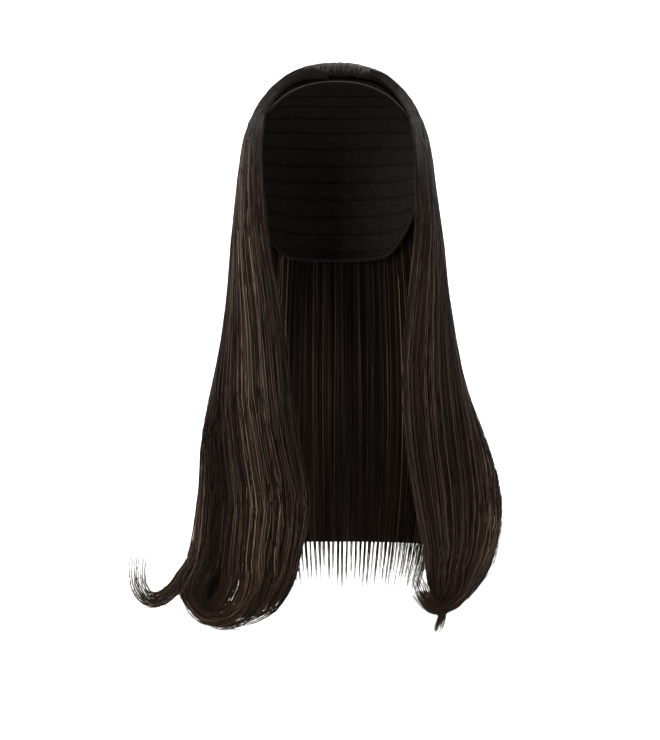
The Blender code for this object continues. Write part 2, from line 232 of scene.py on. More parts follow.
def dress(piece, slot, *nodes):
    for node in nodes:
        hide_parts(node)
    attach(piece, "root")
    print(piece.name, len(piece.data.polygons), "faces")
    return piece


def faceOutwards(piece):
    shaped = bmesh.new()
    shaped.from_mesh(piece.data)
    bmesh.ops.recalc_face_normals(shaped, faces=shaped.faces)
    shaped.to_mesh(piece.data)
    shaped.free()
    piece.data.polygons.foreach_set("use_smooth", [True] * len(piece.data.polygons))


# drop is a share of fallLength, x of the head's half width, y of its half length
leftLevels = np.array([
    # drop, faceX, faceY, rearX, rearY, bulge, thickness
    (0.240, 0.76, -0.72, 1.020, 0.10, 0.18, 0.46),
    (0.343, 0.70, -0.73, 1.080, 0.05, 0.20, 0.56),
    (0.450, 0.57, -0.73, 1.140, -0.08, 0.22, 0.66),
    (0.542, 0.53, -0.74, 1.230, -0.25, 0.22, 0.76),
    (0.621, 0.50, -0.77, 1.350, -0.43, 0.18, 0.86),
    (0.685, 0.42, -0.81, 1.420, -0.58, 0.14, 0.96),
    (0.749, 0.33, -0.85, 1.440, -0.69, 0.11, 1.00),
    (0.809, 0.31, -0.90, 1.500, -0.78, 0.08, 1.00),
    (0.872, 0.39, -0.95, 1.570, -0.86, 0.06, 0.92),
])
rightLevels = np.array([
    (0.240, 0.875, -0.65, 1.010, 0.10, 0.14, 0.46),
    (0.343, 0.84, -0.67, 1.080, 0.05, 0.18, 0.56),
    (0.450, 0.75, -0.69, 1.155, -0.08, 0.21, 0.66),
    (0.542, 0.72, -0.72, 1.260, -0.25, 0.22, 0.76),
    (0.621, 0.745, -0.76, 1.410, -0.43, 0.18, 0.86),
    (0.685, 0.785, -0.80, 1.580, -0.58, 0.14, 0.96),
    (0.749, 0.84, -0.84, 1.710, -0.69, 0.11, 1.00),
    (0.809, 0.905, -0.88, 1.745, -0.78, 0.08, 1.00),
    (0.860, 0.96, -0.92, 1.680, -0.84, 0.06, 0.92),
])
backLevels = np.array([
    # drop, halfWidth, edgeY, middleY, thickness
    (0.240, 1.035, 0.150, 1.035, 0.78),
    (0.343, 1.085, 0.185, 1.045, 0.86),
    (0.450, 1.130, 0.300, 1.055, 0.93),
    (0.555, 1.160, 0.460, 1.080, 1.00),
    (0.665, 1.165, 0.600, 1.110, 1.00),
    (0.770, 1.140, 0.700, 1.130, 0.95),
    (0.870, 1.080, 0.770, 1.120, 0.80),
    (0.930, 1.020, 0.790, 1.080, 0.62),
    (0.972, 0.960, 0.780, 1.010, 0.42),
])
leftSweep = np.array([
    # frontTurn, frontLean, rearTurn, rearLean, thickness
    (17, 38.0, 5, -2.0, 1.30),
    (25, 36.3, 14, -2.3, 1.10),
    (35, 34.8, 27, -3.0, 0.90),
    (46, 36.0, 43, -4.0, 0.80),
    (60, 44.5, 59, -5.0, 0.68),
    (74, 49.5, 74, -6.5, 0.70),
    (88, 51.5, 88, -8.0, 0.88),
])
rightSweep = np.array([
    (22, 33.5, 5, -2.0, 1.30),
    (29, 33.0, 14, -2.3, 1.10),
    (37, 33.5, 27, -3.0, 0.90),
    (47, 35.5, 43, -4.0, 0.80),
    (60, 41.5, 59, -5.0, 0.68),
    (74, 45.0, 74, -6.5, 0.70),
    (88, 47.0, 88, -8.0, 0.88),
])

# each lock: its share of the curtain, how far its end comes forward, its width at the end, and the end's
# middle line as x and z in millimetres
leftLocks = [
    (0.000, 0.167, 2, 0.40, (-40, -418), (-44, -429), (-49, -438), (-54, -445),
     (-61, -450), (-68, -454), (-76, -457), (-85, -457)),
    (0.167, 0.333, 6, 0.45, (-54, -419), (-58, -431), (-63, -441), (-71, -449),
     (-80, -455), (-89, -458), (-99, -458), (-108, -455)),
    (0.333, 0.500, 9, 0.50, (-70, -420), (-73, -433), (-79, -444), (-87, -451),
     (-97, -454), (-107, -453), (-115, -447), (-120, -438)),
    (0.500, 0.650, 6, 0.55, (-85, -420), (-88, -431), (-93, -440), (-99, -446),
     (-106, -447), (-111, -443), (-114, -437), (-114, -430)),
    (0.600, 0.800, -12, 1.00, (-96, -418), (-99, -426), (-101, -432), (-102, -438),
     (-103, -443), (-103, -447), (-102, -451), (-100, -454)),
    (0.650, 0.820, 9, 0.55, (-107, -418), (-113, -428), (-115, -437), (-112, -445),
     (-106, -451), (-97, -455), (-88, -457), (-79, -456)),
    (0.800, 0.940, 12, 0.50, (-120, -417), (-124, -426), (-123, -435), (-117, -444),
     (-108, -453), (-98, -458), (-86, -462), (-76, -462)),
    (0.860, 1.000, -4, 0.85, (-123, -418), (-131, -430), (-141, -439), (-151, -442),
     (-159, -437), (-164, -425), (-163, -408), (-158, -393)),
]
rightLocks = [
    (0.000, 0.167, 2, 0.30, (78, -412), (79, -423), (81, -433), (83, -442),
     (86, -450), (86, -457), (85, -462), (83, -468)),
    (0.167, 0.333, 6, 0.90, (86, -414), (86, -425), (86, -434), (85, -441),
     (82, -446), (78, -445), (74, -439), (71, -429)),
    (0.333, 0.500, 9, 0.90, (95, -414), (95, -426), (92, -435), (88, -442),
     (82, -445), (75, -441), (70, -432), (67, -421)),
    (0.500, 0.667, 12, 0.90, (104, -414), (103, -426), (99, -435), (92, -442),
     (84, -446), (76, -442), (69, -433), (63, -420)),
    (0.667, 0.833, 13, 0.80, (113, -413), (110, -425), (104, -435), (95, -443),
     (85, -446), (76, -445), (67, -438), (59, -428)),
    (0.833, 1.000, 6, 0.30, (122, -412), (117, -423), (110, -433), (101, -440),
     (92, -446), (86, -453), (83, -460), (80, -467)),
]
hairForm = {"side": 0.0066, "fall": 0.017, "back": 0.015, "crown": 0.0095, "tip": 0.0012, "tipShare": 0.35}


def lens(across, edge):
    return mix(edge, 1.0, np.clip(1 - (2 * across - 1) ** 2, 0, 1) ** 0.6)


def lockEnd(lock, start):  # rows of points down a lock's end, narrowing towards the tip
    forward, narrow = lock[2] / 1000, lock[3]
    line = np.array([(x / 1000, z / 1000) for x, z in lock[4:]])
    centre = start.mean(axis=0)
    line = np.concatenate([[centre[[0, 2]]], line])
    ahead = unit(np.gradient(line, axis=0))
    width = np.linalg.norm(start[-1] - start[0])
    side = np.sign(start[-1, 0] - start[0, 0])
    inward = np.stack([-ahead[:, 1], ahead[:, 0]], axis=-1) * side
    place = np.linspace(-0.5, 0.5, len(start))
    rows = []
    for row in range(1, len(line)):
        share = row / (len(line) - 1)
        half = place * width * mix(1.0, narrow, smooth(share))
        y = mix(start[:, 1], centre[1], smooth(share)) - forward * smooth(share * 1.4)
        point = [line[row, 0] + inward[row, 0] * half, y, line[row, 1] + inward[row, 1] * half]
        rows.append(np.stack(point, axis=-1))
    return rows


def sideControls(side, lock, columns):  # rows of points from under the crown down to the tips, and depths
    sweep, levels = (leftSweep, leftLevels) if side < 0 else (rightSweep, rightLevels)
    across = mix(lock[0], lock[1], columns)
    rows, depths = [], []
    for frontTurn, frontLean, rearTurn, rearLean, thickness in sweep:
        direction = leaning(side * mix(frontTurn, rearTurn, across), mix(frontLean, rearLean, across))
        rows.append(headPoints(direction, clothHeight(direction)))
        depths.append(thickness * hairForm["side"] * mix(0.35, 1.0, smooth(across / 0.4)))
    depths[0] = depths[0] * mix(1.0, 0.72, smooth(across / 0.5))
    depths[1] = depths[1] * mix(1.0, 0.88, smooth(across / 0.5))
    turn = side * mix(sweep[0, 0], sweep[0, 2], across) * 0.3
    direction = leaning(turn, mix(sweep[0, 1], sweep[0, 3], across) + 5 * (1 - across))
    rows.insert(0, headPoints(direction, clothHeight(direction)))
    depths.insert(0, depths[0] * 0.3)
    reach = headForm["width"] / 2
    for drop, faceX, faceY, rearX, rearY, bulge, thickness in levels:
        push = bulge * reach * 4 * across * (1 - across) / math.sqrt(2)
        x = side * (mix(faceX, rearX, across) * reach + push)
        y = mix(faceY, rearY, across) * headForm["length"] / 2 - push
        rows.append(np.stack([x, y, np.full_like(x, -drop * fallLength)], axis=-1))
        depths.append(thickness * hairForm["fall"] * lens(across, 0.5))
    rows.extend(lockEnd(lock, rows[-1]))
    last = depths[-1]
    depths.extend(last * mix(0.9, hairForm["tipShare"], row / 7) for row in range(8))
    return np.array(rows), np.array(depths)


def backFall(across, rows, depths):
    angle = np.pi * across
    for drop, halfWidth, edgeY, middleY, thickness in backLevels:
        x = -halfWidth * headForm["width"] / 2 * np.cos(angle)
        y = mix(edgeY, middleY, np.sin(angle) ** 0.8) * headForm["length"] / 2
        rows.append(np.stack([x, y, np.full_like(x, -drop * fallLength)], axis=-1))
        depths.append(thickness * hairForm["back"] * lens(across, 0.5))
    return np.array(rows), np.array(depths)


def backControls(across):  # from the parting down the back
    angle = np.pi * across
    leave = facing(mix(-98.8, -261.2, across), 2.0)
    root = leaning(-6.0 * np.cos(angle), -2.8 - 6.0 * np.sin(angle))
    rows, depths = [], []
    for station in range(7):
        direction = unit(mix(root, leave, station / 6))
        rows.append(headPoints(direction, np.full_like(across, capForm["wall"] + 3 * seatGap)))
        depths.append(np.full_like(across, leftSweep[station, 4] * hairForm["side"]))
    return backFall(across, rows, depths)


def crownControls(across):  # from the band's hem over the crown and down the back
    edge = np.abs(2 * across - 1)
    leave = facing(mix(-98.8, -261.2, across), 2.0)
    root = leaning(mix(-17, 22, across), mix(40.5, 37.0, edge))
    middle = leaning(mix(-15, 19, across), mix(12.0, 20.0, edge))
    rear = leaning(mix(-15, 17, across), mix(-12.0, 3.0, edge**2))
    rows, depths = [], []
    for step in range(9):
        t = step / 8
        blend = (1 - t) ** 3 * root + 3 * (1 - t) ** 2 * t * middle
        blend = unit(blend + 3 * (1 - t) * t * t * rear + t**3 * leave)
        rows.append(headPoints(blend, clothHeight(blend)))
        height = mix(hairForm["crown"] * 1.08, hairForm["side"] * 1.05, smooth(t * 1.6 - 0.45))
        rise = mix(0.12, 1.0, smooth(t * 3.0)) * mix(1.0, mix(0.45, 1.0, smooth(t * 1.5)), edge**2)
        depths.append(height * rise)
    return backFall(across, rows, depths)


class Guide:  # a layer of hair between its underside and its outer side, read at any place and share across
    def __init__(self, controls, outward, weight=1.0, fixedFrom=1.0, paintedLockLight=1.0, steps=6):
        points, depths = controls
        self.weight = weight
        self.paintedLockLight = paintedLockLight
        self.last = len(points) - 1
        self.steps = steps
        places = np.linspace(0, self.last, self.last * steps + 1)
        self.inner = through(points, places)
        depth = np.maximum(through(depths, places), hairForm["tip"])
        normal = unit(np.cross(np.gradient(self.inner, axis=0), np.gradient(self.inner, axis=1)))
        third = len(places) // 3
        if (normal[third] * (self.inner[third] - headCentre)).sum() < 0:
            normal = -normal
        fixed = smooth((places / self.last - fixedFrom) * 6)[:, None, None]
        normal = unit(mix(normal, np.array(outward), fixed))
        self.outer = self.inner + normal * depth[..., None]

    def at(self, place, across, depth):  # arrays of one shape
        row = np.clip(place, 0, self.last) * self.steps
        i = np.clip(row.astype(int), 0, self.inner.shape[0] - 2)
        column = np.clip(across, -0.6, 1.6) * (self.inner.shape[1] - 1)
        j = np.clip(column.astype(int), 0, self.inner.shape[1] - 2)
        a, b = (row - i)[..., None], (column - j)[..., None]
        found = []
        for grid in (self.inner, self.outer):
            top = mix(grid[i, j], grid[i, j + 1], b)
            low = mix(grid[i + 1, j], grid[i + 1, j + 1], b)
            found.append(mix(top, low, a))
        return mix(found[0], found[1], depth[..., None])


def sideGuides(side, locks, paintedLockLights):
    columns = np.linspace(0, 1, 9)
    made = []
    for lock, paintedLockLight in zip(locks, paintedLockLights):
        controls = sideControls(side, lock, columns)
        made.append(Guide(controls, (0, -1, 0), lock[1] - lock[0], fixedFrom=0.62, paintedLockLight=paintedLockLight))
    return made


# painted light and shade of each lock, multiplying its strand tones: the left lock tucked back into the
# hollow of the curl is painted dark, and the right curtain's locks a little darker than the left's
leftGuides = sideGuides(-1, leftLocks, (0.9, 1.0, 1.05, 0.9, 0.35, 0.75, 0.85, 1.0))
rightGuides = sideGuides(1, rightLocks, (0.8, 0.85, 0.85, 0.9, 0.95, 0.9))
backGuide = Guide(backControls(np.linspace(0, 1, 25)), (0, 1, 0))
crownGuide = Guide(crownControls(np.linspace(0, 1, 25)), (0, 1, 0))
print("guides ready")

hairLook = {
    "roughness": 0.45,
    "gloss": 0.09,
    "glossTint": (1.0, 0.84, 0.74, 1.0),
    "stops": [  # strand colour, darkest to lightest
        (0.0, (0.0016, 0.0011, 0.0009)),
        (0.36, (0.0065, 0.0043, 0.0034)),
        (0.62, (0.0260, 0.0172, 0.0135)),
        (0.82, (0.0700, 0.0480, 0.0370)),
        (0.95, (0.1400, 0.1030, 0.0790)),
        (1.0, (0.2500, 0.1980, 0.1550)),
    ],
    "hues": [  # red brown, neutral, gold and ash strands
        (0.0, (1.14, 0.86, 0.88)),
        (0.35, (1.03, 0.96, 0.99)),
        (0.65, (1.02, 1.0, 0.92)),
        (1.0, (0.90, 1.0, 1.05)),
    ],
    "paintedLightAndShade": [  # painted light and shade from the roots to the tips: darker roots, two painted highlight bands down the fall, painted shade with a warmer tint where the ends curl under, lighter tips
        (0.0, (0.26, 0.26, 0.24)),
        (0.24, (0.36, 0.36, 0.34)),
        (0.38, (1.25, 1.25, 1.25)),
        (0.47, (1.20, 1.20, 1.18)),
        (0.54, (0.80, 0.78, 0.72)),
        (0.64, (1.05, 1.0, 0.88)),
        (0.76, (0.60, 0.52, 0.40)),
        (0.87, (0.50, 0.40, 0.30)),
        (1.0, (1.30, 1.20, 1.0)),
    ],
}


def hairFinish(name):
    finish = Finish(name, Roughness=hairLook["roughness"], Specular_IOR_Level=hairLook["gloss"])
    finish.set("Specular_Tint", hairLook["glossTint"])
    colour = finish.add("ValToRGB", {"stops": hairLook["stops"]}, {"Fac": finish.attribute("tone")})
    # painted light and shade along each strand, read from the root-to-tip ramp
    paintedLightAndShade = finish.add("ValToRGB", {"stops": hairLook["paintedLightAndShade"]}, {"Fac": finish.attribute("along")})
    hue = finish.add("ValToRGB", {"stops": hairLook["hues"]}, {"Fac": finish.attribute("hue")})
    finish.set("Base_Color", finish.multiply(finish.multiply(colour, hue), paintedLightAndShade))
    return finish.material


def underFinish():
    finish = Finish("gathered_hair", Roughness=0.6, Specular_IOR_Level=0.05)
    across = finish.attribute("across")
    along = finish.attribute("along")
    place = finish.add("CombineXYZ", {}, {"X": across, "Y": along * 4.0, "Z": 0.0})
    streak = finish.add("TexNoise", {}, {"Vector": place, "Scale": 1.0, "Detail": 2.0})
    # random streaks of tone, the whole kept darker than the loose strands as painted shade inside the hair
    # mass
    stops = [
        (0.34, (0.0012, 0.0008, 0.0007)),
        (0.52, (0.0075, 0.0050, 0.0040)),
        (0.70, (0.034, 0.0235, 0.0185)),
    ]
    colour = finish.add("ValToRGB", {"stops": stops}, {"Fac": streak})
    # the same painted light and shade along the gathered hair
    paintedLightAndShade = finish.add("ValToRGB", {"stops": hairLook["paintedLightAndShade"]}, {"Fac": along})
    finish.set("Base_Color", finish.multiply(colour, paintedLightAndShade))
    finish.bump(streak, 0.6, 0.001)
    return finish.material


strandHair = hairFinish("dark_brown_strands")
gatheredHair = underFinish()


def wander(count, rings, waves):  # smooth waves along each strand, about -1 to 1
    share = np.linspace(0, 1, rings)[None]
    total = np.zeros((count, rings))
    for wave in waves:
        phase = rng.uniform(0, 2 * np.pi, (count, 1))
        speed = wave * rng.uniform(0.7, 1.3, (count, 1))
        total += np.sin(share * speed * 2 * np.pi + phase) * rng.uniform(0.4, 1.0, (count, 1))
    return total / len(waves)


def strandPaths(guides, look):
    count, knots = look["count"], np.array(look["knots"], dtype=float)
    last = guides[0].last
    weights = np.array([guide.weight for guide in guides])
    lock = rng.choice(len(guides), count, p=weights / weights.sum())
    group = rng.integers(0, look["clumps"], count)
    clump = lock * look["clumps"] + group
    total = look["clumps"] * len(guides)
    offset = rng.uniform(-0.5, 0.5, count)
    start = rng.uniform(*look["starts"], count)
    end = mix(*look["ends"], rng.uniform(0, 1, count) ** 0.6) + rng.normal(0, 0.012, total)[clump]
    end = np.clip(end, 0.05, 1.0)
    reach = end[:, None] * knots[-1] / last
    place = mix(start[:, None], reach, knots[None] / knots[-1]) * last
    share = place / last
    gather = look["gather"] * smooth((share - look["gatherFrom"]) / (1 - look["gatherFrom"]))
    ripple = wander(count, len(knots), (1.0, 2.3)) * look["wander"]
    clumpRipple = wander(total, len(knots), (0.8, 1.7))[clump] * look["clumpWander"]
    across = (group[:, None] + 0.5 + offset[:, None] * (1 - gather) + ripple + clumpRipple) / look["clumps"]
    fan = look["fan"] * smooth((share - 0.72) / 0.28)
    across = 0.5 + (across - 0.5) * (1 + fan)
    clumpDepth = rng.uniform(0.15, 0.85, total)[clump]
    depth = mix(*look["depths"], rng.uniform(0, 1, count) ** look["outer"])
    level = mix(depth[:, None], clumpDepth[:, None], gather * 0.7)
    level = level + wander(count, len(knots), (1.3, 3.0)) * 0.06
    level += look.get("lift", 0.0) * rng.uniform(0, 1, (count, 1)) * smooth((share - 0.5) * 4)
    paths = np.zeros((count, len(knots), 3))
    outward = np.zeros_like(paths)
    for index, guide in enumerate(guides):
        chosen = lock == index
        paths[chosen] = guide.at(place[chosen], across[chosen], level[chosen])
        outward[chosen] = guide.at(place[chosen], across[chosen], level[chosen] + 0.5) - paths[chosen]
    stray = look.get("stray", 0.0) * smooth((share - 0.52) / 0.3)[..., None]
    drift = np.stack([wander(count, len(knots), (0.7, 1.6)) for axis in range(3)], axis=-1)
    paths += stray * drift
    stretch = np.linspace(0, 1, len(knots))[None]
    tone = rng.uniform(0, 1, count) ** look.get("dark", 1.0) + 0.18 * (rng.uniform(0, 1, total)[clump] - 0.5)
    # painted light and shade of the lock scales each strand's tone
    tone = np.clip(tone * np.array([guide.paintedLockLight for guide in guides])[lock], 0, 1)
    width = look["width"] * mix(1.3, 0.75, tone)[:, None] * rng.uniform(0.8, 1.2, (count, 1)) / 2
    width = width * mix(1.0, 0.16, smooth((stretch - 0.70) / 0.30)) * mix(0.5, 1.0, smooth(stretch / 0.05))
    hue = 0.6 * rng.uniform(0, 1, count) + 0.4 * rng.uniform(0, 1, total)[clump]
    return paths, unit(outward), width, tone, hue, share


def strandPiece(name, guides, look):  # three-sided closed strands, all in one mesh
    paths, outward, width, tone, hue, along = strandPaths(guides, look)
    count, rings = paths.shape[:2]
    tangent = unit(np.gradient(paths, axis=1))
    out = unit(outward - tangent * (outward * tangent).sum(axis=-1, keepdims=True))
    sideways = np.cross(tangent, out)
    corners = []
    for angle in (90, 210, 330):
        reach = math.cos(math.radians(angle)), math.sin(math.radians(angle)) * 0.6
        corners.append(paths + (sideways * reach[0] + out * reach[1]) * width[..., None])
    verts = np.stack(corners, axis=2).reshape(-1, 3)
    first = (np.arange(count) * rings * 3)[:, None, None]
    ring = (np.arange(rings - 1) * 3)[None, :, None]
    side = np.arange(3)[None, None]
    after = (side + 1) % 3
    low, high = first + ring + side, first + ring + after
    quads = np.stack([low, high, high + 3, low + 3], axis=-1).reshape(-1, 4)
    root = first[:, 0, 0]
    tip = root + (rings - 1) * 3
    caps = np.concatenate([np.stack([root, root + 2, root + 1], -1), np.stack([tip, tip + 1, tip + 2], -1)])
    cells = math.ceil(math.sqrt(count))
    strand = np.repeat(np.arange(count), (rings - 1) * 3)
    u = np.stack([side, side + 1, side + 1, side], -1).reshape(1, 3, 4)
    u = np.tile(u, (count * (rings - 1), 1, 1)).reshape(-1, 4) / 3 * 0.9 + 0.05
    v = np.arange(rings - 1)[None, :, None, None] + np.array([0, 0, 1, 1])
    v = np.broadcast_to(v, (count, rings - 1, 3, 4)).reshape(-1, 4) / (rings - 1) * 0.9 + 0.05
    spread = np.stack([u + (strand % cells)[:, None], v + (strand // cells)[:, None]], axis=-1).reshape(-1, 2)
    owner = np.concatenate([np.arange(count), np.arange(count)])
    middle = np.stack([owner % cells + 0.5, owner // cells + 0.5], -1)[:, None]
    corner = np.array([(0.0, 0.0), (0.3, 0.0), (0.0, 0.3)])[None]
    spread = np.concatenate([spread, (middle + corner).reshape(-1, 2)]) / cells
    attributes = {"tone": np.repeat(tone, rings * 3), "hue": np.repeat(hue, rings * 3)}
    attributes["along"] = np.repeat(along.reshape(-1), 3)
    return linkMesh(name, verts, quads.tolist() + caps.tolist(), strandHair, attributes, spread)


def underBody(guide, look):  # closed flat body of gathered hair in the middle of a lock
    place = np.linspace(look["from"], look["to"], look["rows"])
    across = np.linspace(look["edge"], 1 - look["edge"], look["columns"])
    placeGrid, acrossGrid = np.meshgrid(place, across, indexing="ij")
    wave = np.sin(acrossGrid * look["waves"] * 2 * np.pi) * look["ripple"]
    border = smooth((0.5 - np.abs(acrossGrid - 0.5)) / 0.10)
    close = smooth((look["to"] - placeGrid) / look["taper"])
    half = (look["outer"] - look["inner"]) / 2 * mix(0.15, 1.0, border) * mix(0.05, 1.0, close)
    narrow = 0.5 + (acrossGrid - 0.5) * mix(look["narrow"], 1.0, close)
    middle = (look["inner"] + look["outer"]) / 2
    upper = guide.at(placeGrid, narrow, middle + half * (1 + wave))
    lower = guide.at(placeGrid, narrow, middle - half - 0.01)
    rows, columns = placeGrid.shape
    count = rows * columns
    index = np.arange(count).reshape(rows, columns)
    faces = [gridFaces(rows, columns), gridFaces(rows, columns, flip=True) + count]
    edge = np.concatenate([index[0], index[1:, -1], index[-1, -2::-1], index[-2:0:-1, 0]])
    after = np.roll(edge, -1)
    faces.append(np.stack([edge, after, after + count, edge + count], axis=-1))
    verts = np.concatenate([upper.reshape(-1, 3), lower.reshape(-1, 3)])
    marks = np.tile(narrow.ravel(), 2), np.tile(placeGrid.ravel(), 2) / guide.last
    return verts, np.concatenate(faces), marks


def underPiece(name, bodies, streaks):  # streaks is the number of fine streaks across each body
    verts, faces, across, along = [], [], [], []
    start = 0
    for number, (points, quads, marks) in enumerate(bodies):
        verts.append(points)
        faces.append(quads + start)
        across.append(marks[0] * streaks + number * 100)
        along.append(marks[1])
        start += len(points)
    attributes = {"across": np.concatenate(across), "along": np.concatenate(along)}
    piece = linkMesh(name, np.concatenate(verts), np.concatenate(faces).tolist(), gatheredHair, attributes)
    faceOutwards(piece)
    return dress(piece, "hair")


sideUnder = {"from": 0.6, "rows": 90, "columns": 13, "edge": 0.03, "inner": 0.08, "outer": 0.66}
sideUnder.update(waves=3, ripple=0.12, taper=5.0, narrow=0.5)
backUnder = {"from": 0.2, "to": 13.2, "rows": 60, "columns": 121, "edge": 0.02, "inner": 0.10, "outer": 0.66}
backUnder.update(waves=24, ripple=0.10, taper=3.0, narrow=0.97)
crownUnder = dict(backUnder, outer=0.60, to=9.0, rows=40, columns=73, waves=14, taper=2.0, edge=0.06)
crownUnder["from"] = 0.3
leftEnds = (20.0, 20.5, 20.5, 20.5, 23.0, 20.0, 19.0, 18.0)
rightEnds = (18.5, 20.0, 20.5, 20.5, 20.0, 19.0)
sideStreaks, backStreaks, crownStreaks = 16, 190, 150


def sideBodies(guides, ends):
    return [underBody(guide, dict(sideUnder, to=end)) for guide, end in zip(guides, ends)]


underPiece("under_left", sideBodies(leftGuides, leftEnds), sideStreaks)
underPiece("under_right", sideBodies(rightGuides, rightEnds), sideStreaks)
underPiece("under_back", [underBody(backGuide, backUnder)], backStreaks)
underPiece("under_crown", [underBody(crownGuide, crownUnder)], crownStreaks)

sideStrands = {
    "count": 1600,
    "knots": [0, 0.6, 1.4, 2.6, 4.2, 5.8, 7.2, 8.5, 10, 11.5, 13, 14.5, 16, 17, 18, 19, 20, 21, 22, 23, 24],
    "clumps": 8,
    "starts": (0.0, 0.03),
    "ends": (0.88, 1.0),
    "gather": 0.45,
    "gatherFrom": 0.55,
    "wander": 0.16,
    "clumpWander": 0.14,
    "fan": 0.55,
    "depths": (0.0, 1.0),
    "outer": 0.7,
    "width": 0.00062,
}
wispStrands = dict(sideStrands, count=240, width=0.00036, wander=0.8, gather=0.2, lift=0.6, dark=0.5, fan=1.3)
wispStrands.update(stray=0.0035, clumps=3, ends=(0.80, 1.0))
dress(strandPiece("strands_left", leftGuides, sideStrands), "hair", "hair_left")
dress(strandPiece("strands_right", rightGuides, sideStrands), "hair", "hair_right")
dress(strandPiece("wisps_left", leftGuides, wispStrands), "hair")
dress(strandPiece("wisps_right", rightGuides, wispStrands), "hair")
backStrands = dict(sideStrands, count=1250, clumps=60, knots=list(np.linspace(0, 15, 20)), ends=(0.86, 1.0))
backStrands.update(gather=0.5, fan=0.0, depths=(-0.12, 1.0), width=0.0008)
dress(strandPiece("strands_back", [backGuide], backStrands), "hair", "hair_back")
crownStrands = dict(backStrands, count=1300, knots=list(np.linspace(0, 17, 23)), starts=(0.0, 0.07))
crownStrands.update(outer=0.5, depths=(0.05, 1.0))
dress(strandPiece("strands_crown", [crownGuide], crownStrands), "hair", "hair_crown")

bandLook = {"steps": 180, "nap": (0.0018, 0.0014, 0.0013), "edge": 0.05, "ease": 0.00012}
hemLook = {"steps": 321, "stitches": 107, "colour": (0.0035, 0.0025, 0.0021), "thread": (0.070, 0.060, 0.052)}
hemLook.update(reach=66.0, pucker=0.00018, radius=0.00015, top=0.86)


def stripPiece(name, material, startWidth, width, profile, steps, ripple):
    # closed band over the head, its cross-section given as (share of the width, height) pairs
    turns = np.linspace(-bandForm["end"], bandForm["end"], steps)
    front = bandLean(turns) - acrossHead(startWidth)
    rear = front - acrossHead(width)
    shares = np.array([share for share, height in profile])[None]
    heights = np.array([height for share, height in profile])[None] + ripple(turns[:, None], shares)
    lean = mix(rear[:, None], front[:, None], shares)
    direction = leaning(np.broadcast_to(turns[:, None], lean.shape), lean)
    points = headPoints(direction, np.broadcast_to(heights, lean.shape))
    rows, columns = lean.shape
    quads = gridFaces(rows, columns, closed=True).tolist()
    ends = [list(range(columns)), list(range((rows - 1) * columns, rows * columns))]
    piece = linkMesh(name, points.reshape(-1, 3), quads + ends, material)
    faceOutwards(piece)
    return piece


def bandProfile(thickness, edge, rounds=5):  # flat underside, rounded edges, softly crowned top
    pairs = [(0.02, 0.0), (0.5, 0.0), (0.98, 0.0)]
    for step in range(rounds + 1):
        angle = math.pi / 2 * step / rounds
        pairs.append((1.0 - edge * (1 - math.cos(angle)), thickness * (0.35 + 0.45 * math.sin(angle))))
    for share in np.linspace(0.9, 0.1, 9):
        pairs.append((float(share), thickness * (0.8 + 0.2 * (1 - (2 * share - 1) ** 2))))
    for step in range(rounds, -1, -1):
        angle = math.pi / 2 * step / rounds
        pairs.append((edge * (1 - math.cos(angle)), thickness * (0.35 + 0.45 * math.sin(angle))))
    return pairs


def shades(colour, low, high):
    return tuple(value * low for value in colour), tuple(value * high for value in colour)


def velvetFinish():
    finish = Finish("band_velvet", Roughness=0.9, Specular_IOR_Level=0.02)
    place = finish.add("TexCoord", output=3)
    pile = finish.add("TexNoise", {}, {"Vector": place, "Scale": 2600.0, "Detail": 2.0})
    brushed = finish.add("TexNoise", {}, {"Vector": place, "Scale": 90.0, "Detail": 3.0})
    dark, light = shades(bandLook["nap"], 0.5, 2.2)
    colour = finish.add("ValToRGB", {"stops": [(0.3, dark), (0.75, light)]}, {"Fac": brushed})
    finish.set("Base_Color", colour)
    finish.bump(pile + brushed * 0.5, 0.5, 0.0004)
    return finish.material


def hemFinish():
    finish = Finish("hem_cloth", Roughness=0.8, Specular_IOR_Level=0.03)
    place = finish.add("TexCoord", output=3)
    settings = {"wave_type": "BANDS", "bands_direction": "DIAGONAL"}
    values = {"Vector": place, "Scale": 900.0, "Distortion": 2.0, "Detail": 1.0}
    thread = finish.add("TexWave", settings, values)
    dark, light = shades(hemLook["colour"], 0.6, 1.6)
    finish.set("Base_Color", finish.add("ValToRGB", {"stops": [(0.2, dark), (0.8, light)]}, {"Fac": thread}))
    finish.bump(thread, 0.35, 0.0003)
    return finish.material


def puckered(turns, shares):
    phase = (turns / hemLook["reach"] + 1) / 2 * hemLook["stitches"] * 2 * np.pi
    upper = np.where((shares > 0.2) & (shares < 0.8), 1.0, 0.0)
    return -hemLook["pucker"] * (0.5 + 0.5 * np.cos(phase)) * upper * (np.abs(turns) < hemLook["reach"])


def eased(turns, shares):
    return bandLook["ease"] * np.sin(turns * 0.9 + shares * 3)


band = stripPiece(
    "velvet_band", velvetFinish(), bandForm["hemWidth"] + seatGap, bandForm["width"],
    bandProfile(bandForm["thickness"], bandLook["edge"]), bandLook["steps"], eased,
)
dress(band, "band_velvet", "headband")
hem = stripPiece(
    "folded_hem", hemFinish(), 0.0, bandForm["hemWidth"],
    bandProfile(bandForm["hemThickness"] * hemLook["top"], 0.22), hemLook["steps"], puckered,
)
dress(hem, "hem_cloth", "band_hem")


